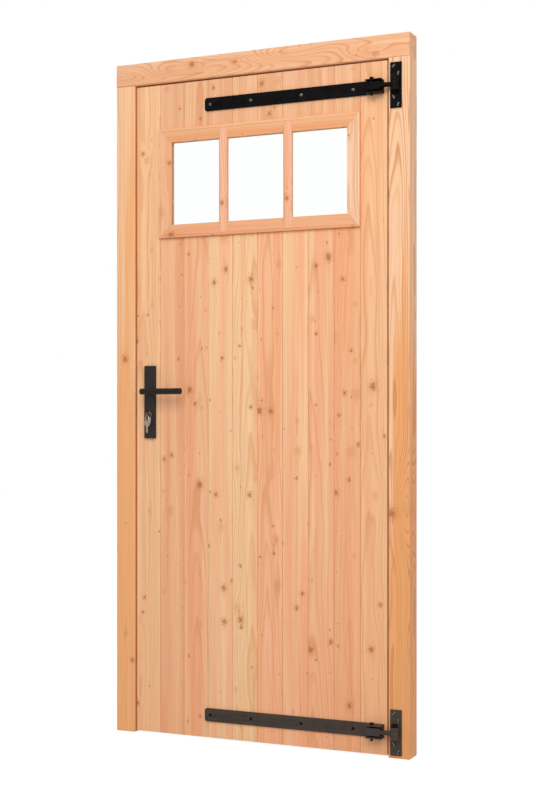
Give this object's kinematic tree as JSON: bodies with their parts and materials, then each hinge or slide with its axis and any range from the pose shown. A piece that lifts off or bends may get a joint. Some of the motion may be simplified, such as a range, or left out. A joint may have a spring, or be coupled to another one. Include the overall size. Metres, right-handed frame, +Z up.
{
  "type": "ledged glazed door",
  "caption": "Outward-opening ledged timber door with a barred window, strap hinges, lever handle and cylinder lock, hung in its three-sided frame.",
  "frame": {"origin": "floor level, middle of the frame's width, on the frame's front face", "axes": "+Z up, +X to the hinge side, +Y into the wall, so the front faces -Y"},
  "size_m": [0.97, 0.149, 2.095],
  "materials": {
    "frame_wood": "planed softwood, untreated",
    "board_wood": "planed softwood, untreated",
    "rear_wood": "planed softwood, untreated",
    "casing_wood": "planed softwood, untreated",
    "glass": "clear float glass",
    "hinge_black": "black powder coat",
    "handle_black": "dark grey powder coat",
    "lock_steel": "zinc-plated steel",
    "key_nickel": "nickel-plated brass"
  },
  "bodies": {
    "frame": {"left_jamb": "frame_wood", "right_jamb": "frame_wood", "head": "frame_wood", "strike_plate": "lock_steel", "upper_hinge_plate": "hinge_black", "lower_hinge_plate": "hinge_black", "hinge_pins": "hinge_black", "frame_screws": "hinge_black"},
    "leaf": {"left_board": "board_wood", "right_board": "board_wood", "lower_board_1": "board_wood", "lower_board_2": "board_wood", "lower_board_3": "board_wood", "lower_board_4": "board_wood", "lower_board_5": "board_wood", "lower_board_6": "board_wood", "lower_board_7": "board_wood", "lower_board_8": "board_wood", "upper_board_1": "board_wood", "upper_board_2": "board_wood", "upper_board_3": "board_wood", "upper_board_4": "board_wood", "upper_board_5": "board_wood", "upper_board_6": "board_wood", "upper_board_7": "board_wood", "upper_board_8": "board_wood", "left_stile": "rear_wood", "right_stile": "rear_wood", "top_ledge": "rear_wood", "sill_ledge": "rear_wood", "lock_ledge": "rear_wood", "bottom_ledge": "rear_wood", "upper_brace": "rear_wood", "lower_brace": "rear_wood", "casing_top": "casing_wood", "casing_bottom": "casing_wood", "casing_left": "casing_wood", "casing_right": "casing_wood", "left_bar": "casing_wood", "right_bar": "casing_wood", "glass_pane": "glass", "rear_beads": "rear_wood", "upper_strap": "hinge_black", "lower_strap": "hinge_black", "upper_eye_bolt": "hinge_black", "lower_eye_bolt": "hinge_black", "clamp_bolts": "hinge_black", "leaf_screws": "hinge_black", "lock_case": "lock_steel", "cylinder": "key_nickel", "outer_plate": "handle_black", "inner_plate": "handle_black"},
    "lever": {"outer_lever": "handle_black", "inner_lever": "handle_black", "spindle": "lock_steel"},
    "latch": {"latch_bolt": "lock_steel"},
    "deadbolt": {"deadbolt": "lock_steel"},
    "key": {"key": "key_nickel", "key_ring": "key_nickel", "spare_key": "key_nickel"}
  },
  "joints": [
    {"name": "leaf_swing", "type": "hinge", "parent": "frame", "child": "leaf", "pos_m": [0.4445, -0.0165, 0], "axis": [0, 0, 1], "range_deg": [0, 150]},
    {"name": "lever_turn", "type": "hinge", "parent": "leaf", "child": "lever", "pos_m": [-0.365, 0.027, 1.066], "axis": [0, 1, 0], "range_deg": [0, 45], "stiffness_Nm_per_rad": 1.2, "springref_deg": -34.38},
    {"name": "latch_slide", "type": "slide", "parent": "leaf", "child": "latch", "axis": [1, 0, 0], "range_m": [0, 0.012]},
    {"name": "key_turn", "type": "hinge", "parent": "leaf", "child": "key", "pos_m": [-0.365, -0.004, 0.994], "axis": [0, -1, 0], "range_deg": [0, 360]},
    {"name": "deadbolt_slide", "type": "slide", "parent": "leaf", "child": "deadbolt", "axis": [-1, 0, 0], "range_m": [0, 0.02]}
  ],
  "couplings": [
    {"joint": "latch_slide", "follows": "lever_turn", "m_per_rad": 0.01527},
    {"joint": "deadbolt_slide", "follows": "key_turn", "m_per_rad": 0.003183}
  ]
}
